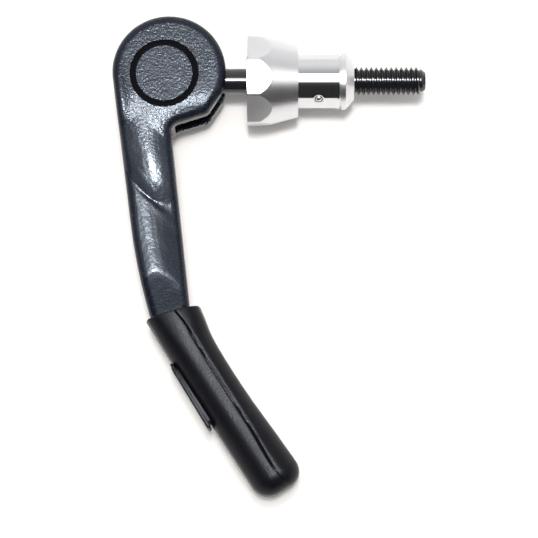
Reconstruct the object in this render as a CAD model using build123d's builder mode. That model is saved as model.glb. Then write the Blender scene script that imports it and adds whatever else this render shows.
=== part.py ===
from build123d import *

import os
from math import cos, hypot, radians, sin, sqrt, tan

# Cam lever: an eccentric hub on a cross pin pulls a threaded stud through a
# sliding collar.  The stud runs along +X, the cross pin along Z, and the
# lever hangs towards -Y.  The origin is on the stud's axis where its outer
# thread starts.  All sizes are in millimetres and degrees.

# ---- stud -----------------------------------------------------------------
thread_d = 7.94                 # 5/16-18 thread, outside diameter
shank_d = 7.02                  # plain shank of a rolled thread
pivot_to_thread = 53.5          # cross pin's axis to the start of the thread
thread_length = 20.0
thread_end_chamfer = 1.5
tapped_depth = 6.5              # past the cross pin's axis
tapped_runout = 0.8             # bare hole at the mouth of the tapping

# ---- cross pin and its bushings -------------------------------------------
pin_d = 16.4
pin_chamfer = 0.35
bushing_wall = 1.45
bushing_clearance = 0.05        # radial running clearance on the cross pin
bushing_recess = 0.6            # below the hub's face

# ---- lever casting --------------------------------------------------------
hub_r = 15.9
hub_offset = (1.3, 1.0)         # eccentricity of the hub from the cross pin
hub_thickness = 19.0
edge_r = 2.4                    # rounding of the casting's outline
slot_clearance = 0.69           # each side of the shank, between the two cheeks
slot_stop = 1.6                 # the slot ends this far inside the hub's radius
flat_start = -23.5              # angle about the hub where the locking flat starts
flat_length = 6.8
flat_lean = 33.0                # the flat's angle from the Y axis
nose_corner_r = 2.6
shelf_slope = 17.6              # underside of the cam nose
shelf_fillet = 3.0
arm_left_lean = 7.3
arm_right_lean = 6.5
arm_right_x = 1.7               # right edge of the arm, level with the hub's lowest point
arm_bend_y = -42.0              # the left edge starts to curve here
arm_left_foot = (-3.4, -68.9)   # ends of the arm's edges inside the grip, from the cross pin
arm_right_foot_y = -69.8
# The arm's faces carry two low ridges.  The first runs down from the hub towards the
# arm's right edge, the second from the left edge to the middle of the arm's foot.
first_ridge_x = -8.0            # where its line crosses the cross pin's level
first_ridge_lean = 12.5
first_ridge_slope = 4.6
first_ridge_droop = 3.6e-5      # the slope steepens with the cube of the distance
second_ridge_foot = (-2.6, -55.4)
second_ridge_lean = 9.1
second_ridge_bow = 0.0048       # curve of the ridge in plan
second_ridge_height = 6.3       # at its foot
second_ridge_slope = 1.2
second_ridge_run = 36.0         # its line is level and straight beyond this
ridge_r = 21.0                  # crown across each ridge
flank_slope = 0.45              # steepest fall away from a ridge
valley_softness = 0.35
arm_start_y = -6.0              # the hub's flat face ends here
arm_start_softness = 0.8
arm_blend = 16.0                # the first ridge is fully crowned this much further
# Below a fold across the arm its faces are flat and run down to the tang.
fold_y = -56.5
fold_lean = 8.2
fold_height = 6.05
fold_slope = 13.0
fold_softness = 0.25
# Even sections that shape the face of hub and arm, and points across each.
face_step = 3.0
face_columns = 11
face_reach = 1.12               # they begin this many hub radii from the cross pin

# ---- grip -----------------------------------------------------------------
grip_start = (2.6, -67.0)       # middle of the grip's mouth, from the cross pin
grip_angle = 31.4               # grip's axis from -Y towards +X
mouth_angle = 15.2              # the mouth is square to this lesser angle
grip_length = 58.6
grip_end_r = 4.4
grip_end_lean = 5.0             # the end face leans towards the inner side
tang_width = 7.6
tang_height = 7.0
tang_length = 47.0
plate_length = 21.1
plate_height = 8.5
plate_proud = 0.7
plate_middle = 22.4             # along the grip
# distance along the grip, sideways bow, width, height, corner radius
grip_sections = [
    (-6.0, 0.4, 15.8, 16.6, 3.6),
    (2.5, -0.1, 14.7, 16.2, 3.8),
    (11.0, -0.65, 13.5, 15.6, 4.2),
    (28.0, -0.45, 13.3, 15.2, 4.6),
    (46.0, 0.3, 14.3, 15.8, 4.6),
    (grip_length + 3.0, 1.0, 15.0, 16.5, 4.6),
]

# ---- collar, barrel and nose ----------------------------------------------
collar_gap = 23.2               # cross pin's axis to the collar's near face
collar_d = 26.2
collar_length = 14.3
collar_straight = 3.6           # cylinder before the taper
collar_taper = 15.0             # half angle
flat_count = 8
flat_to_axis = 12.2
first_flat = 8.2                # from +Z towards -Y
collar_edge = 0.3
bore_clearance = 0.33           # over the thread that the collar slides past
spigot_wall = 1.6               # collar's tube inside the barrel and nose
barrel_wall = 1.8
barrel_length = 11.1
lip_step = 0.3                  # lip, groove and nose against the barrel's radius
lip_length = 0.5
groove_step = 0.4
groove_length = 0.6
nose_step = 0.4
nose_rim = 1.2
nose_length = 3.6
nose_tip_wall = 1.1

# ---- ball plunger in the barrel -------------------------------------------
plunger_d = 3.0
plunger_wall = 0.3
plunger_length = 2.7
plunger_sunk = 0.15
plunger_along = 5.8             # from the collar's end face
plunger_angle = 55.5            # from +Z towards -Y
ball_d = 2.1
ball_proud = 0.4
spring_gap = 0.02                # between the spring's last turn and the ball
spring_wire = 0.2
spring_d = 1.8
spring_pitch = 0.32

# ---- places that follow from the sizes -------------------------------------
pivot = Vector(-pivot_to_thread, 0, 0)
bushing_d = pin_d + 2 * bushing_wall
slot_width = shank_d + 2 * slot_clearance
slot_depth = hub_r - slot_stop
bore_d = thread_d + 2 * bore_clearance
spigot_d = bore_d + 2 * spigot_wall
barrel_d = spigot_d + 2 * barrel_wall
lip_d = barrel_d + 2 * lip_step
groove_d = barrel_d - 2 * groove_step
nose_d = barrel_d + 2 * nose_step
nose_tip_d = bore_d + 2 * nose_tip_wall
collar_x = pivot.X + collar_gap
barrel_x = collar_x + collar_length
lip_x = barrel_x + barrel_length
nose_x = lip_x + lip_length + groove_length
nose_end_x = nose_x + nose_length
grip_dir = Vector(sin(radians(grip_angle)), -cos(radians(grip_angle)), 0)
grip_side = Vector(cos(radians(grip_angle)), sin(radians(grip_angle)), 0)
grip_origin = pivot + Vector(*grip_start, 0)
end_dir = Vector(sin(radians(grip_angle + grip_end_lean)), -cos(radians(grip_angle + grip_end_lean)), 0)
mouth_dir = Vector(sin(radians(mouth_angle)), -cos(radians(mouth_angle)), 0)
plate_face = max(width / 2 - bow for _, bow, width, _, _ in grip_sections[2:4]) + plate_proud
taper_end_r = collar_d / 2 - (collar_length - collar_straight) * tan(radians(collar_taper))
spigot_end_x = nose_end_x - 1.0
flat_rotation = 90 + first_flat + 180 / flat_count


def across_stud(x):
    """Plane across the stud's axis, its normal along +X and its x along +Y."""
    return Plane(origin=(x, 0, 0), x_dir=(0, 1, 0), z_dir=(1, 0, 0))


def across_grip(along, bow):
    """Plane across the grip's axis, its x pointing to the grip's inner side."""
    return Plane(origin=grip_origin + grip_dir * along + grip_side * bow,
                 x_dir=grip_side, z_dir=grip_dir)


plunger_dir = Vector(0, -sin(radians(plunger_angle)), cos(radians(plunger_angle)))
plunger_plane = Plane(origin=Vector(barrel_x + plunger_along, 0, 0) + plunger_dir * (barrel_d / 2),
                      x_dir=(1, 0, 0), z_dir=plunger_dir)
plunger_floor = plunger_plane.offset(-plunger_length)
spring_floor = plunger_floor.offset(plunger_wall + spring_wire / 2)
coil_r = (spring_d - spring_wire) / 2
ball_centre = ball_proud - ball_d / 2
coil_top = ball_centre - sqrt((ball_d / 2 + spring_wire / 2 + spring_gap) ** 2 - coil_r ** 2)
coil_height = coil_top + plunger_length - plunger_wall - spring_wire / 2


# The lever's plan: a round hub, a flat and a shelf under the cam nose, and a
# tapering arm that bends towards the grip.
hub_x, hub_y = pivot.X + hub_offset[0], hub_offset[1]


def hub_point(angle):
    """Point on the hub's rim at an angle from +X."""
    return (hub_x + hub_r * cos(radians(angle)), hub_y + hub_r * sin(radians(angle)))


flat_top = hub_point(flat_start)
flat_end = (flat_top[0] - flat_length * sin(radians(flat_lean)),
            flat_top[1] - flat_length * cos(radians(flat_lean)))
shelf_x = pivot.X + arm_right_x
shelf_end = (shelf_x, flat_end[1] - (flat_end[0] - shelf_x) * tan(radians(shelf_slope)))
arm_left_top = hub_point(180 + arm_left_lean)
arm_left_bend = (arm_left_top[0] + (arm_left_top[1] - arm_bend_y) * tan(radians(arm_left_lean)),
                 arm_bend_y)
arm_top_y = -hub_r
arm_left_end = (pivot.X + arm_left_foot[0], arm_left_foot[1])
arm_right_end = (shelf_x + (arm_top_y - arm_right_foot_y) * tan(radians(arm_right_lean)), arm_right_foot_y)


def near(point, tolerance=0.05):
    """Selector for what stands within a tolerance of a point in the lever's plan."""
    return lambda shape: hypot(shape.center().X - point[0], shape.center().Y - point[1]) < tolerance


def plan_edges(part):
    """Top edges of the lever's side walls, without the end inside the grip."""
    walls = part.faces().filter_by(lambda f: abs(f.normal_at().Z) < 0.1 and f.center().Y > grip_origin.Y - 2)
    return [edge for wall in walls for edge in wall.edges()
            if abs(edge.tangent_at(0.5).Z) < 0.8 and edge.center().Z > edge_r]


def ramp(value, start, end):
    """Smooth rise from 0 at the start to 1 at the end."""
    share = min(max((value - start) / (end - start), 0), 1)
    return share ** 3 * (share * (6 * share - 15) + 10)


def soft_most(first, second, softness):
    """The higher of two values, rounded where they cross."""
    return (first + second) / 2 + hypot((first - second) / 2, softness)


def crown(offset):
    """Fall of the face at an offset from a ridge: round, then an even slope."""
    return flank_slope * (hypot(flank_slope * ridge_r, offset) - flank_slope * ridge_r)


def arm_height(x, y):
    """Half of the casting's thickness at a place of its plan, from the cross pin's axis."""
    run = soft_most(arm_start_y - y, 0, arm_start_softness)
    first_x = first_ridge_x - y * tan(radians(first_ridge_lean))
    first_z = hub_thickness / 2 - run * tan(radians(first_ridge_slope)) - first_ridge_droop * run ** 3
    first = first_z - crown(x - first_x) * ramp(arm_start_y - y, 0, arm_blend)
    rise = min(y - second_ridge_foot[1], second_ridge_run)
    second_x = second_ridge_foot[0] - rise * tan(radians(second_ridge_lean)) - second_ridge_bow * rise ** 2
    second_z = second_ridge_height + rise * tan(radians(second_ridge_slope))
    second = second_z - crown(x - second_x)
    past_fold = fold_y + x * tan(radians(fold_lean)) - y
    flat = fold_height - past_fold * tan(radians(fold_slope))
    return -soft_most(-soft_most(first, second, valley_softness), -flat, fold_softness)


with BuildPart() as lever_arm:
    with BuildSketch() as plan:
        with BuildLine():
            ThreePointArc(flat_top, hub_point(90), arm_left_top)
            Line(arm_left_top, arm_left_bend)
            bend = TangentArc(arm_left_bend, arm_left_end,
                              tangent=(sin(radians(arm_left_lean)), -cos(radians(arm_left_lean))))
            Polyline(bend @ 1, arm_right_end, shelf_end, flat_end, flat_top)
        make_face()
        fillet(plan.vertices().filter_by(near(shelf_end)), shelf_fillet)
        fillet(plan.vertices().filter_by(near(flat_end)), nose_corner_r)
    extrude(amount=hub_thickness)
    # The casting's face: one smooth surface through sections across its length.
    columns = [hub_r * (2 * face_reach * step / (face_columns - 1) - 1) for step in range(face_columns)]
    rows = int((face_reach * hub_r - arm_right_foot_y) / face_step) + 2
    for y in (face_reach * hub_r - row * face_step for row in range(rows)):
        with BuildSketch(Plane.XZ.offset(-y)):
            with BuildLine():
                face = Spline(*[(pivot.X + x, arm_height(x, y)) for x in columns])
                Polyline(face @ 1, ((face @ 1).X, -hub_thickness / 2), ((face @ 0).X, -hub_thickness / 2), face @ 0)
            make_face()
    loft(mode=Mode.INTERSECT)
    fillet(plan_edges(lever_arm), edge_r)
    mirror(about=Plane.XY)
    # The stud swings in the slot between the cheeks.
    with BuildSketch():
        with Locations((pivot.X, -slot_depth)):
            Rectangle(3 * hub_r, 3 * hub_r, align=(Align.CENTER, Align.MIN))
    extrude(amount=slot_width / 2, both=True, mode=Mode.SUBTRACT)
    with Locations(pivot):
        Hole(bushing_d / 2)
    # The tang that the grip is moulded on.
    with BuildSketch(across_grip(-1, 0)):
        RectangleRounded(tang_width, tang_height, 1.5)
    extrude(amount=tang_length)

with BuildPart() as hand_grip:
    for along, bow, width, height, corner in grip_sections:
        with BuildSketch(across_grip(along, bow)):
            RectangleRounded(width, height, corner)
    loft()
    split(bisect_by=Plane(origin=grip_origin + grip_dir * grip_length, z_dir=end_dir), keep=Keep.BOTTOM)
    fillet(hand_grip.faces().sort_by(Axis((0, 0, 0), tuple(grip_dir)))[-1].edges(), grip_end_r)
    split(bisect_by=Plane(origin=grip_origin, z_dir=mouth_dir), keep=Keep.TOP)
    # Raised bare plate on the outer side.
    with BuildSketch(Plane(origin=grip_origin + grip_dir * plate_middle, x_dir=grip_dir, z_dir=-grip_side)):
        RectangleRounded(plate_length, plate_height, 1.0)
    extrude(amount=plate_face, mode=Mode.ADD)
    add(lever_arm.part, mode=Mode.SUBTRACT)

bushings = {}
for name, side_of in (("upper_bushing", 1), ("lower_bushing", -1)):
    inner_z = side_of * slot_width / 2
    outer_z = side_of * (hub_thickness / 2 - bushing_recess)
    with BuildPart() as bushing:
        with BuildSketch(Plane(origin=(pivot.X, 0, min(inner_z, outer_z)))):
            Circle(bushing_d / 2)
            Circle(pin_d / 2 + bushing_clearance, mode=Mode.SUBTRACT)
        extrude(amount=abs(outer_z - inner_z))
    bushings[name] = bushing

with BuildPart() as cross_pin:
    with BuildSketch(Plane(origin=(pivot.X, 0, -hub_thickness / 2))):
        Circle(pin_d / 2)
    extrude(amount=hub_thickness)
    chamfer(cross_pin.edges().filter_by(GeomType.CIRCLE), pin_chamfer)
    with BuildSketch(across_stud(pivot.X - tapped_depth)):
        Circle(thread_d / 2)
    extrude(amount=pin_d, mode=Mode.SUBTRACT)

with BuildPart() as stud:
    with BuildSketch(across_stud(pivot.X - tapped_depth)):
        Circle(thread_d / 2)
    extrude(amount=tapped_depth + pin_d / 2 - tapped_runout)
    with BuildSketch(across_stud(pivot.X)):
        Circle(shank_d / 2)
    extrude(amount=pivot_to_thread)
    with BuildSketch(across_stud(0)):
        Circle(thread_d / 2)
    extrude(amount=thread_length)
    chamfer(stud.faces().sort_by(Axis.X)[-1].edges(), thread_end_chamfer)
    chamfer(stud.faces().sort_by(Axis.X)[0].edges(), thread_end_chamfer / 2)

with BuildPart() as tapered_collar:
    with BuildSketch(Plane.XY):
        with BuildLine():
            Polyline((collar_x, bore_d / 2 + collar_edge), (collar_x, collar_d / 2 - collar_edge),
                     (collar_x + collar_edge, collar_d / 2), (collar_x + collar_straight, collar_d / 2),
                     (barrel_x, taper_end_r), (barrel_x, spigot_d / 2), (spigot_end_x, spigot_d / 2),
                     (spigot_end_x, bore_d / 2), (collar_x + collar_edge, bore_d / 2),
                     (collar_x, bore_d / 2 + collar_edge))
        make_face()
    revolve(axis=Axis.X)
    # Wrench flats round the near end.
    with BuildSketch(across_stud(collar_x)):
        Circle(collar_d)
        RegularPolygon(flat_to_axis, flat_count, major_radius=False, rotation=flat_rotation, mode=Mode.SUBTRACT)
    extrude(amount=collar_length, mode=Mode.SUBTRACT)
    with BuildSketch(plunger_plane):
        Circle(plunger_d / 2)
    extrude(amount=-plunger_length, mode=Mode.SUBTRACT)

with BuildPart() as barrel_sleeve:
    with BuildSketch(across_stud(barrel_x)):
        Circle(barrel_d / 2)
        Circle(spigot_d / 2, mode=Mode.SUBTRACT)
    extrude(amount=barrel_length)
    with BuildSketch(across_stud(lip_x)):
        Circle(lip_d / 2)
        Circle(spigot_d / 2, mode=Mode.SUBTRACT)
    extrude(amount=lip_length)
    with BuildSketch(plunger_plane):
        Circle(plunger_d / 2)
    extrude(amount=-plunger_length, mode=Mode.SUBTRACT)

with BuildPart() as nose_ring:
    with BuildSketch(Plane.XY):
        with BuildLine():
            Polyline((lip_x + lip_length, spigot_d / 2), (lip_x + lip_length, groove_d / 2),
                     (nose_x, groove_d / 2), (nose_x, nose_d / 2), (nose_x + nose_rim, nose_d / 2),
                     (nose_end_x, nose_tip_d / 2), (nose_end_x, bore_d / 2), (spigot_end_x, bore_d / 2),
                     (spigot_end_x, spigot_d / 2), (lip_x + lip_length, spigot_d / 2))
        make_face()
    revolve(axis=Axis.X)

with BuildPart() as plunger_cup:
    with BuildSketch(plunger_floor):
        Circle(plunger_d / 2)
    extrude(amount=plunger_length - plunger_sunk)
    with BuildSketch(plunger_floor.offset(plunger_wall)):
        Circle(plunger_d / 2 - plunger_wall)
    extrude(amount=plunger_length, mode=Mode.SUBTRACT)

with BuildPart() as detent_ball:
    with Locations(plunger_plane.offset(ball_centre)):
        Sphere(ball_d / 2)

with BuildPart() as detent_spring:
    with BuildLine() as coil:
        Helix(pitch=spring_pitch, height=coil_height, radius=coil_r,
              center=tuple(spring_floor.origin), direction=tuple(spring_floor.z_dir))
    with BuildSketch(Plane(origin=coil.line @ 0, z_dir=coil.line % 0)):
        Circle(spring_wire / 2)
    sweep()

pieces = {"lever_arm": lever_arm, "hand_grip": hand_grip, **bushings, "cross_pin": cross_pin, "stud": stud,
          "tapered_collar": tapered_collar, "barrel_sleeve": barrel_sleeve, "nose_ring": nose_ring,
          "plunger_cup": plunger_cup, "detent_ball": detent_ball, "detent_spring": detent_spring}
os.makedirs("parts", exist_ok=True)
for name, piece in pieces.items():
    piece.part.label = name
    export_step(piece.part, f"parts/{name}.step")
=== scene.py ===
"""Looks of a cam lever: powder-coated lever, rubber grip, threaded stud and sliding collar.

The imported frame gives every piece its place. This script dresses the pieces that keep
their shape, and models the ones whose finish needs real geometry: the casting with its
worn-in ridges, the grip with its mould seam and side plate, and the thread of the stud.
"""

import logging
import math
from dataclasses import dataclass, field
from enum import Enum

import bmesh
import bpy
from mathutils import Matrix, Vector

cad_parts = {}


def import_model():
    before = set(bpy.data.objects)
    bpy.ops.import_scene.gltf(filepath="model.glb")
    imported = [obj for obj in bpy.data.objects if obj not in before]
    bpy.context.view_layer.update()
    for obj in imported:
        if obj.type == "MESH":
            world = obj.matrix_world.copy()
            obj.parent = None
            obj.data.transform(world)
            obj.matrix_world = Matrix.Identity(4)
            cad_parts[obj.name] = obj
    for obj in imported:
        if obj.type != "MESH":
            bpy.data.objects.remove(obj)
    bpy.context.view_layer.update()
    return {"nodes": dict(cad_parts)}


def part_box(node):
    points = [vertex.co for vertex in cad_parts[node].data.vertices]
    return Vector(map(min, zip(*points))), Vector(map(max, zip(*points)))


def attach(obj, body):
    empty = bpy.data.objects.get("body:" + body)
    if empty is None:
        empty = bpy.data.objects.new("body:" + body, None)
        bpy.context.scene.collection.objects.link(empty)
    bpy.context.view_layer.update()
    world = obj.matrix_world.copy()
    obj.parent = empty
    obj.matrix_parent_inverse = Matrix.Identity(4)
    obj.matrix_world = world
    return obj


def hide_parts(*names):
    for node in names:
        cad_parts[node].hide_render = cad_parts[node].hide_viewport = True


log = logging.getLogger("cam_lever")
MM = 0.001


class Body(str, Enum):
    """Rigid bodies that the pieces made here ride on."""

    STUD = "stud"
    LEVER = "lever"


class Slot(str, Enum):
    """Material slots of the record; nothing in this script fills them."""

    POWDER = "black_powder_coat"
    RUBBER = "black_rubber"
    OXIDE = "black_oxide"


# ---------------------------------------------------------------------------
# Shader expressions
# ---------------------------------------------------------------------------


class Wire:
    """An output socket that takes part in Python expressions."""

    def __init__(self, shader: "Shader", socket: bpy.types.NodeSocket) -> None:
        """Keep the socket and the shader that it belongs to."""
        self.shader = shader
        self.socket = socket

    def _math(self, operation: str, first: object, second: object = None) -> "Wire":
        """Add one Math node.

        Args:
            operation: the node's operation.
            first: its first operand.
            second: its second operand, if it has one.

        Returns:
            The node's result.
        """
        values = {0: first} if second is None else {0: first, 1: second}
        return self.shader.node("ShaderNodeMath", {"operation": operation}, values)

    def __add__(self, other: object) -> "Wire":
        """Sum."""
        return self._math("ADD", self, other)

    __radd__ = __add__

    def __mul__(self, other: object) -> "Wire":
        """Product."""
        return self._math("MULTIPLY", self, other)

    __rmul__ = __mul__

    def __sub__(self, other: object) -> "Wire":
        """Difference."""
        return self._math("SUBTRACT", self, other)

    def __rsub__(self, other: object) -> "Wire":
        """Difference from a plain value."""
        return self._math("SUBTRACT", other, self)

    def __truediv__(self, other: object) -> "Wire":
        """Quotient."""
        return self._math("DIVIDE", self, other)

    def __rtruediv__(self, other: object) -> "Wire":
        """Quotient of a plain value."""
        return self._math("DIVIDE", other, self)

    def __pow__(self, other: float) -> "Wire":
        """Power."""
        return self._math("POWER", self, other)

    def __abs__(self) -> "Wire":
        """Absolute value."""
        return self._math("ABSOLUTE", self)

    def most(self, other: object) -> "Wire":
        """The larger of two values."""
        return self._math("MAXIMUM", self, other)

    def step(self, low: float, high: float) -> "Wire":
        """Smooth rise from 0 at low to 1 at high, or the fall if high is the smaller.

        Args:
            low: value where the result is 0.
            high: value where the result is 1.

        Returns:
            The smoothed value.
        """
        rising = high > low
        ends = (low, high) if rising else (high, low)
        out = (0.0, 1.0) if rising else (1.0, 0.0)
        settings = {"interpolation_type": "SMOOTHSTEP"}
        values = {"Value": self, "From Min": ends[0], "From Max": ends[1], "To Min": out[0], "To Max": out[1]}
        return self.shader.node("ShaderNodeMapRange", settings, values)


@dataclass
class Shader:
    """A node tree under construction."""

    tree: bpy.types.NodeTree

    def node(self, kind: str, settings: dict = None, values: dict = None, output: object = 0) -> Wire:
        """Add any node.

        Args:
            kind: the node's type.
            settings: attributes that are set before the sockets.
            values: input name or index to a constant or a Wire.
            output: name or index of the output to return.

        Returns:
            The chosen output.
        """
        made = self.tree.nodes.new(kind)
        for name, value in (settings or {}).items():
            setattr(made, name, value)
        for name, value in (values or {}).items():
            if isinstance(value, Wire):
                self.tree.links.new(value.socket, made.inputs[name])
            else:
                made.inputs[name].default_value = value
        return Wire(self, made.outputs[output])

    def output(self, result: Wire, kind: str = "ShaderNodeOutputMaterial") -> None:
        """Join a finished shader to the tree's output.

        Args:
            result: the shader.
            kind: the output node's type.
        """
        output = self.tree.nodes.new(kind)
        self.tree.links.new(result.socket, output.inputs["Surface"])

    def place(self) -> Wire:
        """Object coordinates, in metres."""
        return self.node("ShaderNodeTexCoord", output="Object")

    def axes(self, vector: Wire) -> tuple[Wire, Wire, Wire]:
        """Split a vector.

        Args:
            vector: the vector.

        Returns:
            Its x, y and z.
        """
        x = self.node("ShaderNodeSeparateXYZ", values={0: vector}, output="X")
        outputs = x.socket.node.outputs
        return x, Wire(self, outputs["Y"]), Wire(self, outputs["Z"])

    def noise(self, size_mm: float, detail: float = 2.0, roughness: float = 0.5,
              stretch: tuple = (1, 1, 1)) -> Wire:
        """Noise of a given grain.

        Args:
            size_mm: size of the largest features, in millimetres.
            detail: octaves of finer noise.
            roughness: strength of the finer octaves.
            stretch: scale of the pattern along x, y and z.

        Returns:
            A value about 0.5.
        """
        vector = self.node("ShaderNodeMapping", values={"Vector": self.place(), "Scale": stretch})
        values = {"Vector": vector, "Scale": 1 / (size_mm * MM), "Detail": detail, "Roughness": roughness}
        return self.node("ShaderNodeTexNoise", values=values)

    def blend(self, factor: object, first: object, second: object) -> Wire:
        """Mix two colours.

        Args:
            factor: 0 for the first, 1 for the second.
            first: a colour.
            second: a colour.

        Returns:
            The mixed colour.
        """
        settings = {"data_type": "RGBA"}
        return self.node("ShaderNodeMix", settings, {0: factor, 6: first, 7: second}, output=2)

    def bump(self, height: Wire, depth_mm: float) -> Wire:
        """Turn a height into a normal.

        Args:
            height: height from 0 to 1.
            depth_mm: what 1 stands for, in millimetres.

        Returns:
            The normal.
        """
        values = {"Height": height, "Distance": depth_mm * MM, "Strength": 1.0}
        return self.node("ShaderNodeBump", values=values)


def new_shader(owner: bpy.types.ID) -> Shader:
    """Start the node tree of a material or a world.

    Args:
        owner: the material or world.

    Returns:
        Its empty tree.
    """
    owner.use_nodes = True
    owner.node_tree.nodes.clear()
    return Shader(owner.node_tree)


def rgb(red: float, green: float, blue: float) -> tuple[float, float, float, float]:
    """An opaque colour."""
    return (red, green, blue, 1.0)


# ---------------------------------------------------------------------------
# Finishes
# ---------------------------------------------------------------------------


@dataclass(frozen=True)
class Finish:
    """A surface finish, with what stays the same over the surface."""

    name: str
    colour: tuple
    metallic: float = 0.0
    roughness: float = 0.5
    specular: float = 0.5
    tint: tuple = (1.0, 1.0, 1.0, 1.0)

    def material(self) -> bpy.types.Material:
        """Build the material.

        Returns:
            The finished material.
        """
        made = bpy.data.materials.new(self.name)
        shader = new_shader(made)
        values = {
            "Base Color": self.colour,
            "Metallic": self.metallic,
            "Roughness": self.roughness,
            "Specular IOR Level": self.specular,
            "Specular Tint": self.tint,
        }
        values.update(self.surface(shader))
        shader.output(shader.node("ShaderNodeBsdfPrincipled", values=values))
        return made

    def surface(self, shader: Shader) -> dict:
        """What varies over the surface.

        Args:
            shader: the tree to add to.

        Returns:
            Socket names and their values.
        """
        raise NotImplementedError

    def cloudy(self, cloud: Wire, spread: float) -> Wire:
        """Roughness that follows clouds of noise, up to half of the spread to either side."""
        return self.roughness + (cloud - 0.5) * spread

    def lighter(self, times: float) -> tuple:
        """The colour, so many times as light."""
        return rgb(*(min(1.0, part * times) for part in self.colour[:3]))


@dataclass(frozen=True)
class PowderCoat(Finish):
    """Semi-gloss powder coat: orange peel, rough on the hub and smoother down the arm, short rub marks, and
    paler flecks that are mostly painted glints, with a few real flecks of the coat.
    """

    peel_mm: float = 0.7
    peel_depth_mm: float = 0.09
    smooth_from_mm: float = -28.0
    rough_from_mm: float = -10.0
    smooth_share: float = 0.32
    # Paler flecks in the colour: painted glints of light off the orange peel, with a few real flecks.
    glint_fleck_mm: float = 0.45
    glint_fleck_edges: tuple = (0.5, 0.72)
    glint_fleck_share: float = 0.22
    rub_mm: float = 0.5
    rub_stretch: tuple = (0.35, 1.6, 1.0)
    rub_edges: tuple = (0.66, 0.74)
    rub_share: float = 0.7
    patch_mm: float = 5.0
    patch_edges: tuple = (0.45, 0.62)
    cloud_mm: float = 7.0
    cloud_gloss: float = 0.06
    paler: float = 1.5
    # How much paler the rub marks and the painted glints are.
    rub_and_glint_paling: float = 8.0

    def surface(self, shader: Shader) -> dict:
        """Orange peel over cloudy gloss, with short rub marks and paler flecks that are mostly painted
        glints.

        Args:
            shader: the tree to add to.

        Returns:
            Socket names and their values.
        """
        _, along, _ = shader.axes(shader.place())
        rough = along.step(self.smooth_from_mm * MM, self.rough_from_mm * MM)
        share = self.smooth_share + (1.0 - self.smooth_share) * rough
        peel = shader.noise(self.peel_mm, roughness=0.65) * share
        # Painted glints: paler flecks of colour where light would sparkle off the orange peel; a few stand
        # for real flecks.
        painted_glints = shader.noise(self.glint_fleck_mm, detail=1.0).step(*self.glint_fleck_edges)
        cloud = shader.noise(self.cloud_mm)
        rubs = shader.noise(self.rub_mm, detail=1.0, stretch=self.rub_stretch).step(*self.rub_edges)
        rubs = rubs * shader.noise(self.patch_mm).step(*self.patch_edges)
        # The rub marks are wear; the flecks mixed in with them are painted glints.
        rubs_and_painted_glints = (rubs * self.rub_share).most(painted_glints * self.glint_fleck_share)
        coat = shader.blend(cloud, self.colour, self.lighter(self.paler))
        return {
            "Base Color": shader.blend(rubs_and_painted_glints, coat, self.lighter(self.rub_and_glint_paling)),
            "Roughness": self.cloudy(cloud, self.cloud_gloss),
            "Normal": shader.bump(peel, self.peel_depth_mm),
        }


@dataclass(frozen=True)
class MouldedRubber(Finish):
    """Satin moulded rubber with a very fine skin."""

    grain_mm: float = 0.55
    grain_depth_mm: float = 0.06
    cloud_mm: float = 9.0
    cloud_gloss: float = 0.16

    def surface(self, shader: Shader) -> dict:
        """Fine grain and slow changes of gloss.

        Args:
            shader: the tree to add to.

        Returns:
            Socket names and their values.
        """
        grain = shader.noise(self.grain_mm)
        return {
            "Roughness": self.cloudy(shader.noise(self.cloud_mm, detail=3.0), self.cloud_gloss),
            "Normal": shader.bump(grain, self.grain_depth_mm),
        }


@dataclass(frozen=True)
class BlackOxide(Finish):
    """Black oxide on steel."""

    cloud_mm: float = 1.6
    cloud_gloss: float = 0.2
    paler: float = 1.8

    def surface(self, shader: Shader) -> dict:
        """Slight change of tone and gloss.

        Args:
            shader: the tree to add to.

        Returns:
            Socket names and their values.
        """
        cloud = shader.noise(self.cloud_mm, detail=4.0, roughness=0.65)
        return {
            "Base Color": shader.blend(cloud, self.colour, self.lighter(self.paler)),
            "Roughness": self.cloudy(cloud, self.cloud_gloss),
        }


@dataclass(frozen=True)
class TurnedMetal(Finish):
    """Turned metal with fine lines around the stud's axis."""

    line_mm: float = 0.12
    line_depth_mm: float = 0.0015
    cloud_mm: float = 4.0
    cloud_gloss: float = 0.06

    def surface(self, shader: Shader) -> dict:
        """Fine turning lines and faint clouds.

        Args:
            shader: the tree to add to.

        Returns:
            Socket names and their values.
        """
        lines = shader.noise(1.0, detail=3.0, roughness=0.7, stretch=(1 / self.line_mm, 0.05, 0.05))
        return {
            "Roughness": self.cloudy(shader.noise(self.cloud_mm), self.cloud_gloss),
            "Normal": shader.bump(lines, self.line_depth_mm),
        }


POWDER = PowderCoat("powder_coat", rgb(0.005, 0.006, 0.010), roughness=0.18, specular=0.36,
                    tint=rgb(0.80, 0.89, 1.0))
RUBBER = MouldedRubber("moulded_rubber", rgb(0.004, 0.004, 0.006), roughness=0.36, specular=0.2,
                       tint=rgb(0.90, 0.93, 1.0))
# Bushings: black plastic whose near-zero colour and gloss also paint the shade of the deep groove round the
# cross pin.
BUSHING_BLACK_AND_SHADE = MouldedRubber("bushing_polymer_painted_shade", rgb(0.002, 0.002, 0.003), roughness=0.8, specular=0.08)
OXIDE = BlackOxide("black_oxide_steel", rgb(0.007, 0.008, 0.010), roughness=0.17, specular=0.8)
ALUMINIUM = TurnedMetal("satin_turned_aluminium", rgb(0.80, 0.80, 0.82), metallic=1.0, roughness=0.32)
POLISHED = TurnedMetal("polished_barrel", rgb(0.78, 0.79, 0.81), metallic=1.0, roughness=0.05,
                       line_depth_mm=0.0004)
SPRING = BlackOxide("spring_wire", rgb(0.35, 0.35, 0.36), metallic=1.0, roughness=0.35)


# ---------------------------------------------------------------------------
# Mesh helpers
# ---------------------------------------------------------------------------


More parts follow.
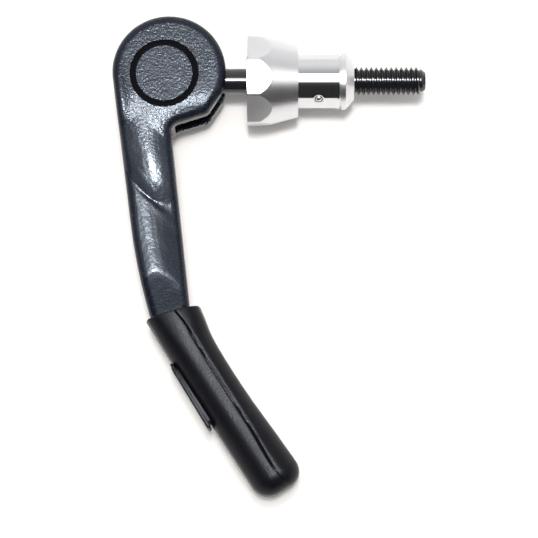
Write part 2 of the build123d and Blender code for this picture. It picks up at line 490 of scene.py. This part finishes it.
def finish_piece(name: str, shape: bmesh.types.BMesh, material: bpy.types.Material,
                 sharp_deg: float) -> bpy.types.Object:
    """Turn a bmesh into a smooth-shaded object at the origin.

    Args:
        name: the piece's name.
        shape: its geometry in metres, which is freed.
        material: its material.
        sharp_deg: edges steeper than this stay sharp.

    Returns:
        The object, linked to the scene.
    """
    bmesh.ops.recalc_face_normals(shape, faces=shape.faces)
    mesh = bpy.data.meshes.new(name)
    shape.to_mesh(mesh)
    shape.free()
    mesh.materials.append(material)
    mesh.shade_smooth()
    mesh.set_sharp_from_angle(angle=math.radians(sharp_deg))
    piece = bpy.data.objects.new(name, mesh)
    bpy.context.scene.collection.objects.link(piece)
    return piece


def loft(shape: bmesh.types.BMesh, sections: list) -> None:
    """Skin closed sections one after another, and close the first and the last.

    Args:
        shape: the mesh to add to.
        sections: lists of places, as many in each and all in the same turn.
    """
    loops = [[shape.verts.new(place) for place in places] for places in sections]
    for first, second in zip(loops, loops[1:]):
        for k, vert in enumerate(first):
            after = (k + 1) % len(first)
            shape.faces.new((vert, first[after], second[after], second[k]))
    shape.faces.new(loops[0])
    shape.faces.new(reversed(loops[-1]))


def dress(node: bpy.types.Object, material: bpy.types.Material) -> None:
    """Give a frame piece its material.

    Args:
        node: the piece.
        material: the material for each of its slots.
    """
    for slot in node.material_slots:
        slot.material = material
    log.info("dressed %s", node.name)


# ---------------------------------------------------------------------------
# Curves
# ---------------------------------------------------------------------------


def ramp(value: float, start: float, end: float) -> float:
    """Smooth rise from 0 at the start to 1 at the end."""
    share = min(max((value - start) / (end - start), 0.0), 1.0)
    return share ** 3 * (share * (6 * share - 15) + 10)


def soft_most(first: float, second: float, softness: float) -> float:
    """The higher of two values, rounded where they cross."""
    return (first + second) / 2 + math.hypot((first - second) / 2, softness)


def between(points: tuple, at: float) -> list:
    """Values on a smooth curve through rows of numbers.

    Args:
        points: rows whose first number is the place along the curve.
        at: the place to read.

    Returns:
        The row's other numbers at that place.
    """
    last = len(points) - 1
    at = min(max(at, points[0][0]), points[last][0])
    index = next(i for i in range(last) if at <= points[i + 1][0])
    low, high = points[index], points[index + 1]
    before, after = points[max(index - 1, 0)], points[min(index + 2, last)]
    span = high[0] - low[0]
    t = (at - low[0]) / span
    row = []
    for k in range(1, len(low)):
        rise_low = (high[k] - before[k]) / (high[0] - before[0]) * span
        rise_high = (after[k] - low[k]) / (after[0] - low[0]) * span
        row.append((2 * t ** 3 - 3 * t ** 2 + 1) * low[k] + (t ** 3 - 2 * t ** 2 + t) * rise_low
                   + (3 * t ** 2 - 2 * t ** 3) * high[k] + (t ** 3 - t ** 2) * rise_high)
    return row


def bell(offset: float, width: float) -> float:
    """Bell curve of height 1."""
    return math.exp(-(offset / width) ** 2)


# ---------------------------------------------------------------------------
# Sub-assemblies
# ---------------------------------------------------------------------------


@dataclass(frozen=True)
class CastingFace:
    """Height of the casting's face over its plan, in millimetres from the cross pin's axis.

    Two low ridges run down the arm, and a flat lies below a fold at its foot.
    """

    hub: float = 9.5
    start: float = -6.0
    start_softness: float = 0.8
    blend: float = 16.0
    left_start: float = -6.0
    left_blend: float = 16.0
    first_x: float = -8.0
    first_lean: float = 12.5
    first_slope: float = 4.6
    droop: float = 3.6e-5
    swell: float = 0.0
    swell_rows: tuple = (-8.0, -29.0, -40.0)
    second_foot: tuple = (-2.6, -55.4)
    second_lean: float = 9.1
    second_bow: float = 0.0048
    second_height: float = 6.3
    second_slope: float = 1.2
    second_run: float = 36.0
    ridge_r: float = 21.0
    flank: float = 0.45
    valley: float = 0.35
    fold: float = -56.5
    fold_lean: float = 8.2
    fold_height: float = 6.05
    fold_slope: float = 13.0
    fold_softness: float = 0.25

    def crown(self, offset: float) -> float:
        """Fall of the face at an offset from a ridge."""
        return self.flank * (math.hypot(self.flank * self.ridge_r, offset) - self.flank * self.ridge_r)

    def height(self, x: float, y: float) -> float:
        """Half of the casting's thickness.

        Args:
            x: place along the stud, from the cross pin.
            y: place along the arm, from the cross pin.

        Returns:
            The height.
        """
        angles = (self.first_lean, self.first_slope, self.second_lean, self.second_slope)
        first_lean, first_slope, second_lean, second_slope = (math.tan(math.radians(a)) for a in angles)
        fold_lean, fold_slope = (math.tan(math.radians(a)) for a in (self.fold_lean, self.fold_slope))
        run = soft_most(self.start - y, 0.0, self.start_softness)
        aside = x - self.first_x + y * first_lean
        start, blend = (self.left_start, self.left_blend) if aside < 0 else (self.start, self.blend)
        top, peak, foot = self.swell_rows
        swell = self.swell * ramp(-y, -top, -peak) * ramp(y, foot, peak)
        first = self.hub - run * first_slope - self.droop * run ** 3 + swell
        first -= self.crown(aside) * ramp(start - y, 0, blend)
        rise = min(y - self.second_foot[1], self.second_run)
        second_x = self.second_foot[0] - rise * second_lean - self.second_bow * rise ** 2
        second = self.second_height + rise * second_slope - self.crown(x - second_x)
        flat = self.fold_height - (self.fold + x * fold_lean - y) * fold_slope
        return -soft_most(-soft_most(first, second, self.valley), -flat, self.fold_softness)


CAST = CastingFace()
WORN_IN = CastingFace(left_start=17.0, left_blend=28.0, first_x=-9.2, first_lean=12.0, first_slope=4.7,
                      droop=2.8e-5, swell=0.55, second_bow=0.0065, valley=0.08, fold_softness=0.06)


@dataclass
class Casting:
    """The lever's casting, with the ridges of its faces brought out. Lengths are in millimetres."""

    source: bpy.types.Object
    material: bpy.types.Material
    pivot_x: float = -53.5
    cell: float = 0.55
    slot_half: float = 4.25
    slot_rows: tuple = (-22.0, -15.0)
    thinnest: float = 0.1
    weld: float = 0.002
    flat_deg: float = 2.0
    square_deg: float = 40.0
    sharp_deg: float = 32.0

    def refine(self, shape: bmesh.types.BMesh) -> None:
        """Cut the faces along even lines, so that they can bend.

        Args:
            shape: the mesh to cut.
        """
        low, high = (Vector(map(pick, zip(*(v.co for v in shape.verts)))) for pick in (min, max))
        for axis, normal in ((0, (1, 0, 0)), (1, (0, 1, 0))):
            for index in range(1, math.ceil((high[axis] - low[axis]) / (self.cell * MM))):
                place = Vector(normal) * (low[axis] + index * self.cell * MM)
                geometry = shape.verts[:] + shape.edges[:] + shape.faces[:]
                bmesh.ops.bisect_plane(shape, geom=geometry, plane_co=place, plane_no=normal)

    def bend(self, shape: bmesh.types.BMesh) -> None:
        """Move the upper and lower faces to their worn-in height, and leave the slot alone.

        Args:
            shape: the mesh to bend.
        """
        for vert in shape.verts:
            x, y, z = (value / MM for value in vert.co)
            x -= self.pivot_x
            base = self.slot_half * ramp(y, *self.slot_rows)
            cast = CAST.height(x, y)
            share = min(max((abs(z) - base) / max(cast - base, self.thinnest), 0.0), 1.0)
            vert.co.z += math.copysign((WORN_IN.height(x, y) - cast) * share * MM, z)

    def build(self) -> None:
        """Model the casting and stand it in for its frame node."""
        shape = bmesh.new()
        shape.from_mesh(self.source.data)
        bmesh.ops.remove_doubles(shape, verts=shape.verts, dist=self.weld * MM)
        self.refine(shape)
        self.bend(shape)
        bmesh.ops.join_triangles(shape, faces=shape.faces, angle_face_threshold=math.radians(self.flat_deg),
                                 angle_shape_threshold=math.radians(self.square_deg))
        piece = finish_piece("ridged_casting", shape, self.material, self.sharp_deg)
        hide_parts("lever_arm")
        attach(piece, Body.LEVER.value)
        log.info("ridged_casting: %d faces", len(piece.data.polygons))


@dataclass
class Lever:
    """The casting, its bushings and its grip."""

    nodes: dict
    powder: bpy.types.Material = field(default_factory=POWDER.material)
    rubber: bpy.types.Material = field(default_factory=RUBBER.material)
    bushing_black_and_shade: bpy.types.Material = field(default_factory=BUSHING_BLACK_AND_SHADE.material)

    def build(self) -> None:
        """Dress the casting, the bushings and the grip."""
        Casting(self.nodes["lever_arm"], self.powder).build()
        dress(self.nodes["cross_pin"], self.powder)
        MouldedGrip(self.rubber).build()
        # The bushings' near-black, unreflective finish is partly painted shade of the groove round the cross
        # pin.
        for name in ("upper_bushing", "lower_bushing"):
            dress(self.nodes[name], self.bushing_black_and_shade)


@dataclass
class MouldedGrip:
    """The rubber grip: a waisted handle with crowned faces, a mould seam and a bare side plate.

    Lengths are in millimetres, along the grip's axis and sideways from it.
    """

    material: bpy.types.Material
    start: tuple = (-50.9, -67.0)
    angle: float = math.radians(31.4)
    mouth_lean: float = math.radians(16.2)
    end_lean: float = math.radians(0.5)
    length: float = 57.9
    end_r: float = 5.2
    end_steps: int = 10
    lip_r: float = 0.3
    lip_steps: int = 6
    ring_gap: float = 0.8
    crown_r: float = 20.0
    crown_shift: float = 0.6
    side_r: float = 26.0
    least_corner: float = 0.4
    corner_steps: int = 8
    side_rows: int = 3
    # along, sideways bow, width, height, corner radius
    sections: tuple = ((-6.0, 0.4, 15.8, 16.5, 2.6), (2.5, -0.1, 14.7, 16.1, 3.2),
                       (11.0, -0.65, 13.45, 15.5, 4.4), (28.0, -0.35, 13.1, 15.1, 4.8),
                       (46.0, 0.5, 13.9, 15.7, 4.8), (61.6, 1.2, 14.5, 16.3, 4.8))
    # along, sideways place of the seam, depth of its single groove, depth of its double groove
    seam: tuple = ((-4.0, 0.2, 0.40, 0.0), (0.7, 0.9, 0.50, 0.0), (4.8, 1.6, 0.60, 0.0),
                   (9.0, 1.65, 0.25, 0.20), (15.0, 1.65, 0.0, 0.30), (38.0, 1.85, 0.0, 0.30),
                   (50.0, 1.4, 0.0, 0.26), (53.0, 1.6, 0.10, 0.0), (58.6, 2.5, 0.40, 0.0))
    seam_offsets: tuple = (-1.0, -0.55, -0.4, -0.32, -0.24, -0.16, -0.08, 0.0,
                           0.08, 0.16, 0.24, 0.32, 0.4, 0.55, 1.0)
    seam_reach: float = 1.3
    face_margin: float = 0.001
    single_width: float = 0.2
    double_width: float = 0.12
    double_place: float = 0.24
    plate_middle: float = 22.4
    plate_length: float = 21.1
    plate_height: float = 8.5
    plate_face: float = 8.1
    plate_corner: float = 1.0
    plate_corner_steps: int = 4
    # reach of the plate's sides from the axis, and of its rim from the face, with their insets
    plate_sides: tuple = ((5.2, 1.3), (7.3, 1.3), (7.35, 0.15), (7.5, 0.0))
    plate_rim: tuple = ((-0.15, 0.0), (0.0, 0.15), (0.0, 0.55), (-0.25, 0.7))
    sharp_deg: float = 40.0

    def outline(self, along: float, inset: float) -> list:
        """One section of the grip.

        Args:
            along: place along the grip's axis.
            inset: how far the section is drawn in, for the rounded end and the lip.

        Returns:
            Pairs of sideways place and height, all the way round.
        """
        bow, width, height, corner = between(self.sections, along)
        place, single, double = between(self.seam, along)
        half_s, half_z = width / 2 - inset, height / 2 - inset
        corner = max(corner - inset, self.least_corner)
        flat_s, flat_z = half_s - corner, half_z - corner
        seam_at = place - bow
        first, last = seam_at - self.seam_reach, seam_at + self.seam_reach
        top = [-flat_s + share * (first + flat_s) for share in (0.0, 0.25, 0.5, 0.75, 1.0)]
        top += [seam_at + offset for offset in self.seam_offsets]
        top += [last + share * (flat_s - last) for share in (0.0, 0.5, 1.0)]
        arcs = [math.radians(90 - 90 / self.corner_steps * k) for k in range(1, self.corner_steps)]
        side = [flat_z * (1 - k / self.side_rows) for k in range(2 * self.side_rows + 1)]
        upper = [(s, half_z) for s in top]
        right = [(flat_s + corner * math.cos(a), flat_z + corner * math.sin(a)) for a in arcs]
        right += [(half_s, z) for z in side]
        right += [(s, -z) for s, z in reversed(right[:len(arcs)])]
        lower = [(s, -z) for s, z in reversed(upper)]
        left = [(-s, -z) for s, z in right]
        return [self.crowned(s, z, half_s, half_z, bow, self.groove(s - seam_at, single, double))
                for s, z in upper + right + lower + left]

    def groove(self, offset: float, single: float, double: float) -> float:
        """Depth of the mould seam.

        Args:
            offset: sideways distance from the seam.
            single: depth of its single groove.
            double: depth of its double groove.

        Returns:
            The depth.
        """
        places = (self.double_place, -self.double_place)
        pair = sum(bell(offset + place, self.double_width) for place in places)
        return single * bell(offset, self.single_width) + double * pair

    def crowned(self, s: float, z: float, half_s: float, half_z: float, bow: float, groove: float) -> tuple:
        """Crown one point of a section, bow it aside, and sink it if it lies in the seam.

        Args:
            s: sideways place on the plain section.
            z: height on the plain section.
            half_s: half of the section's width.
            half_z: half of its height.
            bow: sideways bow of the section.
            groove: depth of the seam at this sideways place.

        Returns:
            The sideways place and the height.
        """
        fall_z = 1 - (s - self.crown_shift) ** 2 / (2 * self.crown_r * half_z)
        fall_s = 1 - z ** 2 / (2 * self.side_r * half_s)
        sunk = groove if abs(z) >= half_z - self.face_margin else 0.0
        return s * fall_s + bow, z * fall_z - math.copysign(sunk, z)

    def station(self, along: float, sideways: float) -> float:
        """Shear a section so that the first follows the mouth and the last the leaning end.

        Args:
            along: nominal place along the grip.
            sideways: distance from the axis.

        Returns:
            The real place along the grip.
        """
        share = along / self.length
        slope = (1 - share) ** 2 * math.tan(self.mouth_lean) - share ** 2 * math.tan(self.end_lean)
        return along + sideways * slope

    def rings(self) -> list:
        """Nominal places and insets of the sections, with the rounded lip and end.

        Returns:
            Pairs of place and inset.
        """
        quarter = [math.radians(90 * k / self.lip_steps) for k in range(self.lip_steps)]
        made = [(self.lip_r * (1 - math.cos(a)), self.lip_r * (1 - math.sin(a))) for a in quarter]
        body = self.length - self.end_r - self.lip_r
        count = round(body / self.ring_gap)
        made += [(self.lip_r + body * k / count, 0.0) for k in range(count)]
        quarter = [math.radians(90 * k / self.end_steps) for k in range(self.end_steps + 1)]
        made += [(self.length - self.end_r * (1 - math.sin(a)), self.end_r * (1 - math.cos(a)))
                 for a in quarter]
        return made

    def spot(self, along: float, sideways: float, height: float) -> Vector:
        """A place of the grip in the model's frame.

        Args:
            along: place along the grip's axis.
            sideways: distance from the axis.
            height: height above the stud's axis.

        Returns:
            The place, in metres.
        """
        sine, cosine = math.sin(self.angle), math.cos(self.angle)
        return Vector((self.start[0] + along * sine + sideways * cosine,
                       self.start[1] - along * cosine + sideways * sine, height)) * MM

    def body(self, shape: bmesh.types.BMesh) -> None:
        """Skin the grip's sections.

        Args:
            shape: the mesh to add to.
        """
        sections = []
        for along, inset in self.rings():
            points = self.outline(along, inset)
            sections.append([self.spot(self.station(along, s), s, z) for s, z in points])
        loft(shape, sections)

    def plate(self, shape: bmesh.types.BMesh) -> None:
        """The raised plate on the outer side, with a bevelled rim around a sunken field.

        Args:
            shape: the mesh to add to.
        """
        rim = tuple((self.plate_face + reach, inset) for reach, inset in self.plate_rim)
        sections = []
        for reach, inset in self.plate_sides + rim:
            straight_l = self.plate_length / 2 - inset - self.plate_corner
            straight_h = self.plate_height / 2 - inset - self.plate_corner
            places = []
            for side_l, side_h, first_deg in ((1, 1, 0), (-1, 1, 90), (-1, -1, 180), (1, -1, 270)):
                for step in range(self.plate_corner_steps + 1):
                    a = math.radians(first_deg + 90 / self.plate_corner_steps * step)
                    along = self.plate_middle + side_l * straight_l + self.plate_corner * math.cos(a)
                    height = side_h * straight_h + self.plate_corner * math.sin(a)
                    places.append(self.spot(along, -reach, height))
            sections.append(places)
        loft(shape, sections)

    def build(self) -> None:
        """Model the grip and stand it in for its frame node."""
        shape = bmesh.new()
        self.body(shape)
        self.plate(shape)
        piece = finish_piece("moulded_grip", shape, self.material, self.sharp_deg)
        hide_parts("hand_grip")
        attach(piece, Body.LEVER.value)
        log.info("moulded_grip: %d faces", len(piece.data.polygons))


@dataclass
class ThreadedStud:
    """The stud, with a real helical thread at its outer end."""

    pitch: float = 1.411 * MM
    thread_length: float = 20.0 * MM
    root_r: float = 3.10 * MM
    crest_r: float = 3.96 * MM
    crest_share: float = 0.16
    root_share: float = 0.14
    shank_r: float = 3.51 * MM
    chamfer: float = 1.9 * MM
    chamfer_r: float = 2.45 * MM
    steps_per_turn: int = 40
    shank_sides: int = 96
    weld_share: float = 0.01
    sharp_deg: float = 35.0
    oxide: bpy.types.Material = field(default_factory=OXIDE.material)

    def thread(self) -> bmesh.types.BMesh:
        """Spin one pitch of thread profile along the helix and trim it to length.

        Returns:
            The thread, with flat ends.
        """
        shape = bmesh.new()
        flank = self.pitch * (1 - self.crest_share - self.root_share) / 2
        crest = self.pitch * self.crest_share
        root = self.pitch * self.root_share
        corners = [(0.0, self.root_r), (root, self.root_r), (root + flank, self.crest_r),
                   (root + flank + crest, self.crest_r), (self.pitch, self.root_r)]
        start = -2 * self.pitch
        verts = [shape.verts.new((start + x, 0.0, r)) for x, r in corners]
        edges = [shape.edges.new(pair) for pair in zip(verts, verts[1:])]
        turns = math.ceil(self.thread_length / self.pitch) + 3
        bmesh.ops.spin(shape, geom=verts + edges, cent=(0, 0, 0), axis=(1, 0, 0), angle=math.tau * turns,
                       dvec=(self.pitch / self.steps_per_turn, 0, 0), steps=self.steps_per_turn * turns,
                       use_merge=False)
        bmesh.ops.remove_doubles(shape, verts=shape.verts, dist=self.pitch * self.weld_share)
        for x, side in ((0.0, -1), (self.thread_length, 1)):
            geometry = shape.verts[:] + shape.edges[:] + shape.faces[:]
            cut = bmesh.ops.bisect_plane(shape, geom=geometry, plane_co=(x, 0, 0), plane_no=(side, 0, 0),
                                         clear_outer=True)
            rim = [e for e in cut["geom_cut"] if isinstance(e, bmesh.types.BMEdge)]
            bmesh.ops.contextual_create(shape, geom=rim)
        self._trim_end(shape)
        return shape

    def _trim_end(self, shape: bmesh.types.BMesh) -> None:
        """Bring the end of the thread down to its chamfer.

        Args:
            shape: the thread.
        """
        slope = (self.crest_r - self.chamfer_r) / self.chamfer
        for vert in shape.verts:
            reach = self.thread_length - vert.co.x
            limit = self.chamfer_r + reach * slope
            radius = math.hypot(vert.co.y, vert.co.z)
            if reach < self.chamfer and radius > limit:
                vert.co.y *= limit / radius
                vert.co.z *= limit / radius

    def shank(self, low_x: float) -> bmesh.types.BMesh:
        """The plain shank and the end that sits in the cross pin.

        Args:
            low_x: where the stud starts.

        Returns:
            The closed shape.
        """
        shape = bmesh.new()
        length = -low_x
        turn = Matrix.Rotation(math.pi / 2, 4, "Y")
        bmesh.ops.create_cone(shape, cap_ends=True, segments=self.shank_sides, radius1=self.shank_r,
                              radius2=self.shank_r, depth=length,
                              matrix=Matrix.Translation((low_x / 2, 0, 0)) @ turn)
        return shape

    def build(self) -> None:
        """Model the stud and stand it in for its frame node."""
        low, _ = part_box("stud")
        shape = self.thread()
        mesh = bpy.data.meshes.new("shank")
        shank = self.shank(low.x)
        shank.to_mesh(mesh)
        shank.free()
        shape.from_mesh(mesh)
        bpy.data.meshes.remove(mesh)
        piece = finish_piece("threaded_stud", shape, self.oxide, self.sharp_deg)
        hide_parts("stud")
        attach(piece, Body.STUD.value)
        log.info("threaded_stud: %d faces", len(piece.data.polygons))


@dataclass
class Collar:
    """The sliding collar, its barrel, nose and ball plunger."""

    nodes: dict
    aluminium: bpy.types.Material = field(default_factory=ALUMINIUM.material)
    polished: bpy.types.Material = field(default_factory=POLISHED.material)
    spring: bpy.types.Material = field(default_factory=SPRING.material)

    def build(self) -> None:
        """Dress the collar's pieces."""
        for name in ("tapered_collar", "nose_ring"):
            dress(self.nodes[name], self.aluminium)
        for name in ("barrel_sleeve", "plunger_cup", "detent_ball"):
            dress(self.nodes[name], self.polished)
        dress(self.nodes["detent_spring"], self.spring)


@dataclass
class Studio:
    """Table, surroundings, lamp and camera.

    The patterns of light lie on a plane above: along is to its right, across is to its far side.
    """

    target: Vector = field(default_factory=lambda: Vector((-0.02418, -0.05399, 0.0)))
    elevation: float = 79.96
    distance: float = 0.70
    lens: float = 167.66
    table_size: float = 6.0
    table_colour: tuple = rgb(0.68, 0.66, 0.64)
    table_lift: float = 0.1
    key_power: float = 2.9
    key_size: float = 0.08
    key_height: float = 1.1
    key_lean: float = 6.0
    above: tuple = (0.05, 0.2)
    box_level: float = 0.85
    box_along: tuple = (1.1, 0.7)
    box_across: tuple = (0.36, 0.30)
    glow_level: float = 340.0
    glow_size: tuple = (0.05, 0.048)
    sheet_level: float = 3.3
    sheet_place: tuple = (-0.05, 0.16)
    sheet_size: tuple = (0.36, 0.17)
    wall_level: float = 0.42
    far_rise: float = 0.48
    far_rows: tuple = (0.3, 0.95)
    dark_level: float = 0.03
    dark_rows: tuple = (-0.27, -0.33)
    dark_heights: tuple = (-0.25, -0.05)

    def table(self) -> None:
        """A white table that keeps the object's shadow."""
        low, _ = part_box("tapered_collar")
        shape = bmesh.new()
        bmesh.ops.create_grid(shape, x_segments=1, y_segments=1, size=self.table_size / 2)
        bmesh.ops.translate(shape, vec=(0.0, 0.0, low.z), verts=shape.verts)
        material = bpy.data.materials.new("white_table")
        shader = new_shader(material)
        seen = shader.node("ShaderNodeLightPath", output="Is Camera Ray")
        values = {"Base Color": self.table_colour, "Roughness": 0.8, "Emission Color": rgb(1, 1, 1),
                  "Emission Strength": seen * self.table_lift}
        shader.output(shader.node("ShaderNodeBsdfPrincipled", values=values))
        piece = finish_piece("table", shape, material, 30.0)

    def glow(self, along: Wire, across: Wire) -> Wire:
        """A small bright glow straight above, which fades slowly all round.

        Args:
            along: place to the right on the plane above.
            across: place to the far side.

        Returns:
            The glow, 1 at its middle.
        """
        fade = 1.0 + (along / self.glow_size[0]) ** 2.0 + (across / self.glow_size[1]) ** 2.0
        return 1.0 / (fade * fade)

    def sheet(self, along: Wire, across: Wire) -> Wire:
        """A broad oval sheet beyond the glow, brightest in its middle.

        Args:
            along: place to the right on the plane above.
            across: place to the far side.

        Returns:
            The sheet, 1 at its middle and 0 outside.
        """
        offset_along = ((along - self.sheet_place[0]) / self.sheet_size[0]) ** 2.0
        offset_across = ((across - self.sheet_place[1]) / self.sheet_size[1]) ** 2.0
        return (offset_along + offset_across).step(1.0, 0.0)

    def world(self) -> None:
        """Glow, sheet and wide box above, grey walls, and a dark side where the viewer stands."""
        world = bpy.data.worlds.new("studio")
        bpy.context.scene.world = world
        shader = new_shader(world)
        x, y, z = shader.axes(shader.node("ShaderNodeTexCoord", output="Generated"))
        across, along = y / z.most(self.above[0]), x / z.most(self.above[0])
        above = z.step(*self.above)
        box = abs(across).step(*self.box_across) * abs(along).step(*self.box_along) * above
        dark = y.step(*self.dark_rows) * z.step(*self.dark_heights)
        wall = self.wall_level + y.step(*self.far_rows) * self.far_rise
        level = wall * (1.0 - dark) + self.dark_level * dark + self.box_level * box
        level = level + self.glow_level * (above * self.glow(along, across))
        level = level + self.sheet_level * (above * self.sheet(along, across))
        seen = shader.node("ShaderNodeLightPath", output="Is Camera Ray")
        values = {"Color": rgb(1, 1, 1), "Strength": seen + (1.0 - seen) * level}
        shader.output(shader.node("ShaderNodeBackground", values=values), "ShaderNodeOutputWorld")

    def lamps(self) -> None:
        """One small strong lamp overhead, which makes the crisp shadow."""
        data = bpy.data.lights.new("overhead", "AREA")
        data.shape = "DISK"
        data.size = self.key_size
        data.energy = self.key_power
        lamp = bpy.data.objects.new("overhead", data)
        lean = math.radians(self.key_lean)
        lamp.location = self.target + Vector((0.0, math.sin(lean), math.cos(lean))) * self.key_height
        lamp.rotation_euler = (-lean, 0.0, 0.0)
        lamp.visible_glossy = False
        bpy.context.scene.collection.objects.link(lamp)

    def camera(self) -> None:
        """The camera, from almost straight above."""
        data = bpy.data.cameras.new("camera")
        data.lens = self.lens
        data.sensor_width = 36.0
        data.clip_start = 0.01
        camera = bpy.data.objects.new("camera", data)
        rise = math.radians(self.elevation)
        away = Vector((0.0, -math.cos(rise), math.sin(rise)))
        camera.location = self.target + away * self.distance
        camera.rotation_euler = (math.pi / 2 - rise, 0.0, 0.0)
        bpy.context.scene.collection.objects.link(camera)
        bpy.context.scene.camera = camera

    def build(self) -> None:
        """Set the scene."""
        bpy.context.scene.view_settings.view_transform = "Standard"
        self.table()
        self.world()
        self.lamps()
        self.camera()


def corners(box: object) -> list:
    """A box as plain lists of numbers."""
    return [list(map(float, corner)) for corner in box]


def main() -> None:
    """Load the frame, dress and model the pieces, and set the studio."""
    logging.basicConfig(level=logging.INFO, format="%(name)s %(message)s")
    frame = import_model()
    nodes = frame["nodes"]
    for part in (Studio(), Lever(nodes), ThreadedStud(), Collar(nodes)):
        part.build()


if __name__ == "__main__":
    main()
